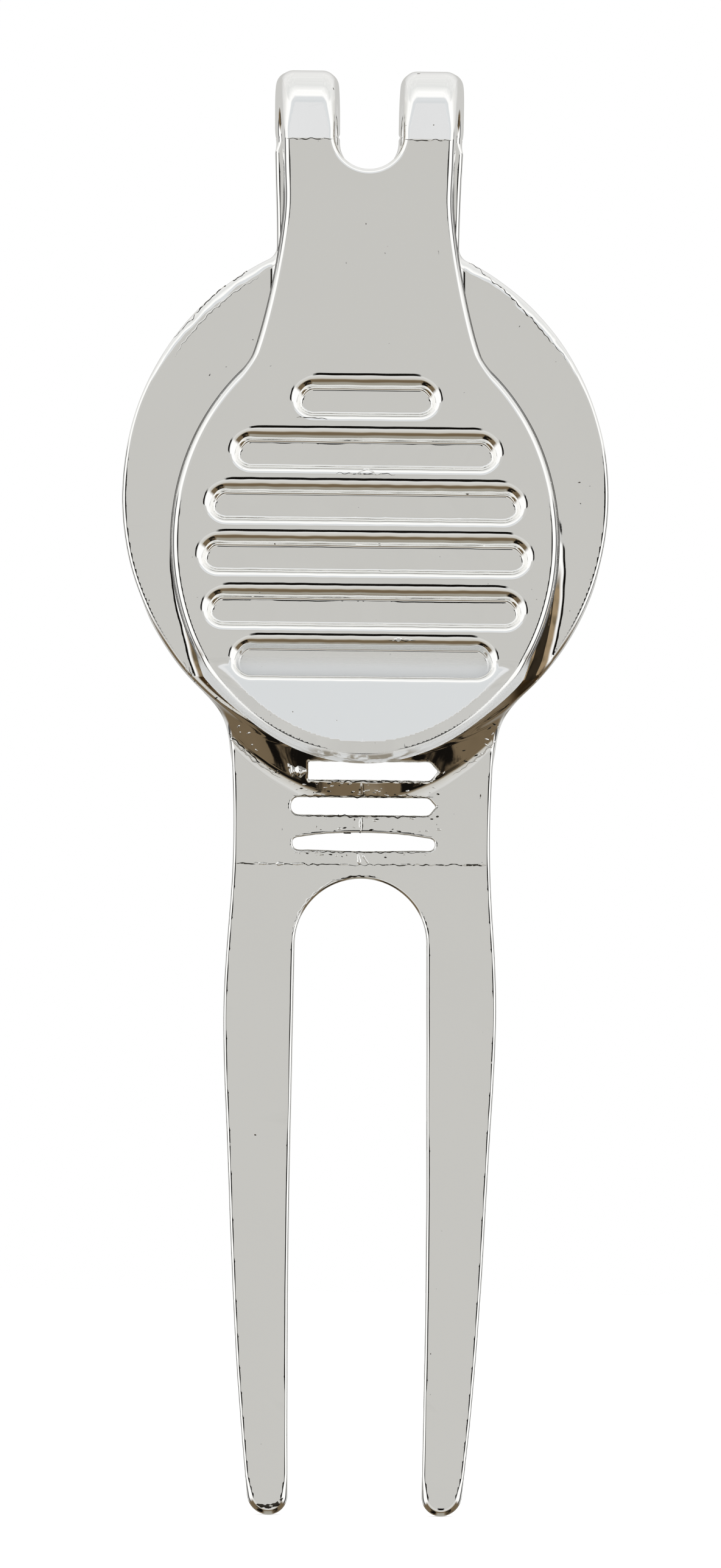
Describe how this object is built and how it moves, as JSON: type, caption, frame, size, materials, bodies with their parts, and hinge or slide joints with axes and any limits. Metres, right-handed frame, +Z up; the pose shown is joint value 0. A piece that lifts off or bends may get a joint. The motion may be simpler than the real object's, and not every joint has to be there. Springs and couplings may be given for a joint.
{
  "type": "divot repair tool",
  "caption": "Two-tine fork with a round plate, a belt clip folded over its top and a magnetic ball marker that lifts out.",
  "frame": {"origin": "crook of the clip's bend: centre of the tool's width, middle of the belt gap, inside top of the bend, where a belt's edge bears", "axes": "+Z up, away from the tine tips; +Y out of the ball marker's face; the belt clip is on the -Y side"},
  "size_m": [0.028, 0.0107, 0.0831],
  "materials": {
    "plating": "polished",
    "magnet_nickel": "satin",
    "glue": "satin",
    "coin_plating": "polished",
    "enamel_white": "gloss",
    "enamel_green": "gloss",
    "enamel_red": "gloss",
    "dome_epoxy": "gloss"
  },
  "bodies": {
    "body": {"fork_body": "plating", "magnet": "magnet_nickel", "magnet_adhesive": "glue"},
    "clip": {"belt_clip": "plating"},
    "marker": {"marker_coin": "coin_plating", "enamel_sky": "enamel_white", "enamel_green": "enamel_green", "enamel_flag": "enamel_red", "marker_dome": "dome_epoxy"}
  },
  "joints": [
    {"name": "clip_flex", "type": "hinge", "parent": "body", "child": "clip", "pos_m": [0, 0.0038, -0.0016], "axis": [-1, 0, 0], "range_deg": [0, 1.5], "stiffness_Nm_per_rad": 20},
    {"name": "marker_lift", "type": "slide", "parent": "body", "child": "marker", "axis": [0, 1, 0], "range_m": [0, 0.012]}
  ]
}
